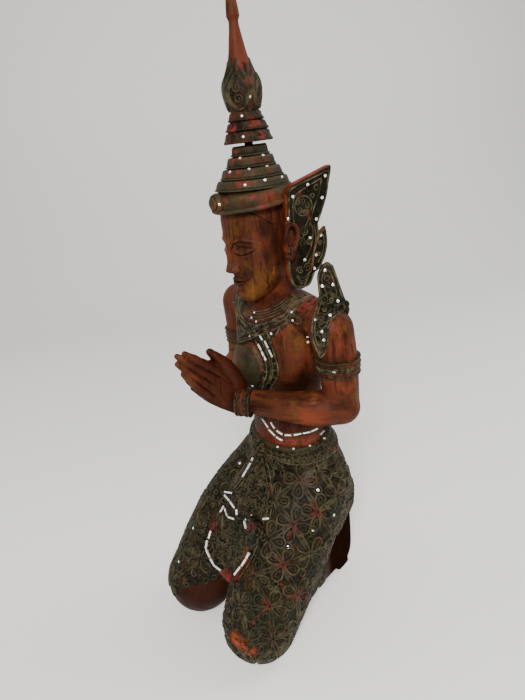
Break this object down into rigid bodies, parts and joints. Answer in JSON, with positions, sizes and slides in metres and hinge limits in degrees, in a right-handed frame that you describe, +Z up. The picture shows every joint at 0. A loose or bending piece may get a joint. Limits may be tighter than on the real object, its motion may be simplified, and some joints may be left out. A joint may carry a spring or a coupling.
{
  "type": "carved wooden statue",
  "caption": "Kneeling temple figure carved in wood, palms pressed in prayer, in a tall stepped crown whose tip lifts off; it stands on its knees and toes.",
  "frame": {"origin": "middle of the whole figure's outline seen from above, on the ground it stands on", "axes": "+Z up, the figure faces -Y, its own left hand is on the +X side"},
  "size_m": [0.327, 0.3518, 1.029],
  "materials": {
    "figure": "worn red-brown stain, semi-gloss, with dark olive lacquer ornament",
    "crown_finial": "olive and red-brown lacquer over carved wood, semi-gloss",
    "lacquer": "dark olive lacquer with raised thread relief, worn satin",
    "mirror": "small pieces of silvered glass"
  },
  "bodies": {
    "root": {"figure": "figure", "crown_finial": "crown_finial"}
  },
  "joints": []
}
